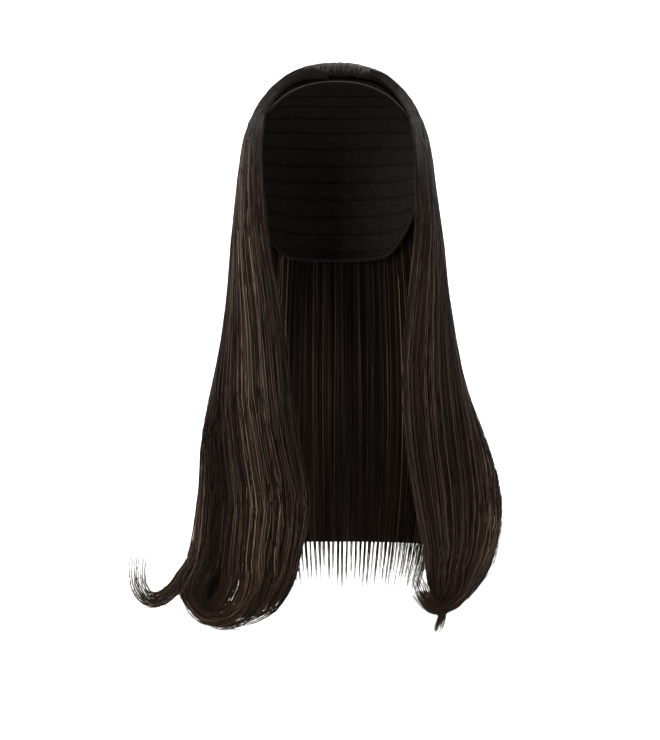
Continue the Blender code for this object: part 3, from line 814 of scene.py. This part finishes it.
def stitchPiece():  # two short threads for each stitch, leaning left and right along the hem
    turns = np.linspace(-hemLook["reach"], hemLook["reach"], hemLook["stitches"])
    spans = np.array([(-0.5, 0.24, 0.5, 0.50), (0.5, 0.52, -0.5, 0.80)])
    step = turns[1] - turns[0]
    rings, sides = 6, 6
    verts = []
    for turn in turns:
        for fromTurn, fromShare, toTurn, toShare in spans:
            t = np.linspace(0, 1, rings)
            place = turn + mix(fromTurn, toTurn, t) * step * 0.8
            lean = bandLean(place) - acrossHead(bandForm["hemWidth"]) * (1 - mix(fromShare, toShare, t))
            height = bandForm["hemThickness"] * hemLook["top"] + 0.0001 + 0.00016 * np.sin(t * np.pi)
            spine = headPoints(leaning(place, lean), height)
            ahead = unit(np.gradient(spine, axis=0))
            side = unit(np.cross(ahead, unit(spine - headCentre)))
            out = np.cross(side, ahead)
            radius = hemLook["radius"] * np.sqrt(np.clip(1 - (2 * t - 1) ** 4, 0.05, 1))
            for corner in range(sides):
                angle = 2 * math.pi * corner / sides
                verts.append(spine + (side * math.cos(angle) + out * math.sin(angle)) * radius[:, None])
    threads = len(turns) * len(spans)
    verts = np.array(verts).reshape(threads, sides, rings, 3).transpose(0, 2, 1, 3).reshape(-1, 3)
    faces = []
    for thread in range(threads):
        start = thread * rings * sides
        faces.extend((gridFaces(rings, sides, closed=True) + start).tolist())
        faces.append(list(range(start, start + sides)))
        faces.append(list(range(start + (rings - 1) * sides, start + rings * sides)))
    finish = Finish("hem_thread", Roughness=0.55)
    place = finish.add("TexCoord", output=3)
    twist = finish.add("TexNoise", {}, {"Vector": place, "Scale": 700.0, "Detail": 1.0})
    dark, light = shades(hemLook["thread"], 0.45, 1.0)
    finish.set("Base_Color", finish.add("ValToRGB", {"stops": [(0.3, dark), (0.7, light)]}, {"Fac": twist}))
    piece = linkMesh("hem_stitches", verts, faces, finish.material)
    faceOutwards(piece)
    return dress(piece, "hem_cloth")


stitches = stitchPiece()


def capFrontLean(turn):
    return bandLean(turn) - acrossHead(bandForm["hemWidth"] + bandForm["width"] + 4 * seatGap)


def capRim(azimuth):  # elevation of the cap's rim: behind the band, over the ear, or down at the nape
    low = mix(capForm["sideRim"], capForm["napeRim"], smooth((np.abs(azimuth) - 95) / 55))
    high = np.full_like(low, 90.0)
    for step in range(40):
        middle = (low + high) / 2
        direction = facing(azimuth, middle)
        lean = np.degrees(np.arcsin(-direction[..., 1]))
        turn = np.degrees(np.arctan2(np.abs(direction[..., 0]), direction[..., 2]))
        ahead = lean > capFrontLean(turn)
        low = np.where(ahead, middle, low)
        high = np.where(ahead, high, middle)
    return high


def netFinish():
    finish = Finish("cap_net", Roughness=0.8, Specular_IOR_Level=0.15)
    place = finish.add("TexCoord", output=3)
    holes = finish.add("TexVoronoi", {"feature": "DISTANCE_TO_EDGE"}, {"Vector": place, "Scale": 620.0})
    thread = 1 - finish.add("MapRange", {}, {"Value": holes, "From Min": 0.02, "From Max": 0.16})
    stops = [(0.0, (0.0025, 0.002, 0.0018)), (1.0, (0.020, 0.0165, 0.015))]
    finish.set("Base_Color", finish.add("ValToRGB", {"stops": stops}, {"Fac": thread}))
    finish.bump(thread, 0.6, 0.0004)
    return finish.material


def capPiece():
    columns, rows = capForm["columns"], capForm["rows"]
    azimuth = (np.arange(columns) / columns * 360 + 180) % 360 - 180
    rim = capRim(azimuth)
    share = (np.arange(1, rows + 1) / rows)[:, None]
    elevation = mix(90.0, rim[None], share)
    direction = facing(np.broadcast_to(azimuth[None], elevation.shape), elevation)
    size = rows * columns + 1
    ring = list(range(columns))
    verts, faces = [], []
    for wall, lift in enumerate((0.0, capForm["wall"])):
        start = wall * size
        points = headPoints(direction, np.full(elevation.shape, lift))
        verts.extend([points.reshape(-1, 3), headPoints(np.array([[0.0, 0.0, 1.0]]), np.array([lift]))])
        faces.extend((gridFaces(rows, columns, closed=True) + start).tolist())
        for here, there in zip(ring, ring[1:] + ring[:1]):
            faces.append([start + here, start + there, start + rows * columns])
    last = (rows - 1) * columns
    for here, there in zip(ring, ring[1:] + ring[:1]):
        faces.append([last + here, last + there, last + there + size, last + here + size])
    piece = linkMesh("net_cap", np.concatenate(verts), faces, netFinish())
    faceOutwards(piece)
    return dress(piece, "cap_net", "cap")


netCap = capPiece()


def ribbonAlong(points, normals, width, thickness):  # closed flat ribbon along a line on the cap
    ahead = unit(np.gradient(points, axis=0))
    side = unit(np.cross(ahead, normals))
    profile = [(-0.5, 0.0), (-0.42, 0.5), (-0.25, 1.0), (0.25, 1.0), (0.42, 0.5), (0.5, 0.0), (0.25, -0.4)]
    profile.append((-0.25, -0.4))
    ring = [points + side * (a * width) + normals * (b * thickness) for a, b in profile]
    verts = np.stack(ring, axis=1).reshape(-1, 3)
    faces = gridFaces(len(points), len(profile), closed=True).tolist()
    faces.append(list(range(len(profile))))
    faces.append(list(range((len(points) - 1) * len(profile), len(points) * len(profile))))
    return verts, faces


def ribbedFinish(name, dark, light, direction, scale):
    finish = Finish(name, Roughness=0.7, Specular_IOR_Level=0.08)
    place = finish.add("TexCoord", output=3)
    settings = {"bands_direction": direction}
    rib = finish.add("TexWave", settings, {"Vector": place, "Scale": scale, "Distortion": 0.8})
    finish.set("Base_Color", finish.add("ValToRGB", {"stops": [(0.25, dark), (0.8, light)]}, {"Fac": rib}))
    finish.bump(rib, 0.5, 0.0004)
    return finish.material


weftLook = {"rows": 11, "first": 56.0, "last": -36.0, "width": 0.0034, "thickness": 0.0006}
bindingLook = {"width": 0.0052, "thickness": 0.0009}


def weftPiece():  # the sewn rows that carry the hair, seen on the cap's inner side
    verts, faces, start = [], [], 0
    for row in range(weftLook["rows"]):
        elevation = mix(weftLook["first"], weftLook["last"], row / (weftLook["rows"] - 1))
        azimuth = np.linspace(62, 298, 101)
        rim = capRim((azimuth + 180) % 360 - 180)
        azimuth = azimuth[rim < elevation - 2.5]
        direction = facing(azimuth, np.full_like(azimuth, elevation))
        points = headPoints(direction, np.full_like(azimuth, 0.00015))
        inward = unit(points - headPoints(direction, np.full_like(azimuth, 0.002)))
        ribbon, quads = ribbonAlong(points, inward, weftLook["width"], weftLook["thickness"])
        verts.append(ribbon)
        faces.extend([[corner + start for corner in quad] for quad in quads])
        start += len(ribbon)
    material = ribbedFinish("weft_track", (0.003, 0.0024, 0.0022), (0.013, 0.010, 0.0088), "X", 330.0)
    piece = linkMesh("cap_wefts", np.concatenate(verts), faces, material)
    faceOutwards(piece)
    return dress(piece, "cap_net")


def bindingPiece():  # bound edge of the cap from ear to ear round the nape
    azimuth = np.linspace(88, 272, 161)
    direction = facing(azimuth, capRim((azimuth + 180) % 360 - 180) + 1.2)
    points = headPoints(direction, np.full_like(azimuth, -0.0001))
    inward = unit(points - headPoints(direction, np.full_like(azimuth, 0.002)))
    verts, faces = ribbonAlong(points, inward, bindingLook["width"], bindingLook["thickness"])
    material = ribbedFinish("rim_binding", (0.004, 0.0035, 0.0034), (0.020, 0.017, 0.016), "Z", 420.0)
    piece = linkMesh("cap_binding", verts, faces, material)
    faceOutwards(piece)
    return dress(piece, "cap_net")


wefts = weftPiece()
binding = bindingPiece()
print("cap and band done")

studio = {"lens": 83.88, "eye": (-0.0052, -1.5, -0.253), "world": 0.30}
studio.update(floor=-0.62, wall=1.5, curve=0.6)


def addBackdrop():
    shape = bmesh.new()
    profile = [(-4.0, studio["floor"])]
    for step in range(13):
        angle = math.pi / 2 * step / 12
        y = studio["wall"] + studio["curve"] * math.sin(angle)
        profile.append((y, studio["floor"] + studio["curve"] * (1 - math.cos(angle))))
    profile.append((studio["wall"] + studio["curve"], 3.0))
    rows = [[shape.verts.new((x, y, z)) for x in (-5.0, 5.0)] for y, z in profile]
    for low, high in zip(rows, rows[1:]):
        shape.faces.new((low[0], low[1], high[1], high[0]))
    mesh = bpy.data.meshes.new("backdrop")
    shape.to_mesh(mesh)
    shape.free()
    mesh.polygons.foreach_set("use_smooth", [True] * len(mesh.polygons))
    finish = Finish("pale_backdrop", Roughness=0.9, Specular_IOR_Level=0.1)
    finish.set("Base_Color", (0.88, 0.88, 0.88, 1.0))
    mesh.materials.append(finish.material)
    backdrop = bpy.data.objects.new("backdrop", mesh)
    bpy.context.scene.collection.objects.link(backdrop)


def addLight(name, place, aim, size, power, colour=(1, 1, 1)):
    light = bpy.data.lights.new(name, "AREA")
    light.shape = "RECTANGLE"
    light.size, light.size_y = size
    light.energy = power
    light.color = colour
    holder = bpy.data.objects.new(name, light)
    holder.location = place
    holder.rotation_euler = (Vector(aim) - Vector(place)).to_track_quat("-Z", "Y").to_euler()
    bpy.context.scene.collection.objects.link(holder)


addBackdrop()
addLight("key", (-1.2, -1.9, 0.15), (0, 0, -0.28), (1.0, 1.2), 56, (1.0, 0.97, 0.93))
addLight("fill", (1.4, -1.8, 0.05), (0, 0, -0.28), (1.0, 1.2), 14, (0.96, 0.97, 1.0))
addLight("top", (0.0, -0.2, 1.6), (0, 0, 0), (1.4, 1.2), 6)
addLight("wallLeft", (-1.6, 0.7, 0.9), (0, 2.1, 0.0), (1.0, 1.0), 60)
addLight("wallRight", (1.6, 0.7, 0.9), (0, 2.1, 0.0), (1.0, 1.0), 60)

world = bpy.data.worlds.new("studio")
world.use_nodes = True
world.node_tree.nodes["Background"].inputs["Color"].default_value = (1.0, 1.0, 1.0, 1.0)
world.node_tree.nodes["Background"].inputs["Strength"].default_value = studio["world"]
bpy.context.scene.world = world

camera = bpy.data.objects.new("camera", bpy.data.cameras.new("camera"))
camera.data.lens = studio["lens"]
camera.data.clip_end = 20
camera.location = studio["eye"]
camera.rotation_euler = (math.pi / 2, 0, 0)
bpy.context.scene.collection.objects.link(camera)
bpy.context.scene.camera = camera
bpy.context.scene.view_settings.view_transform = "Standard"
print("studio ready")
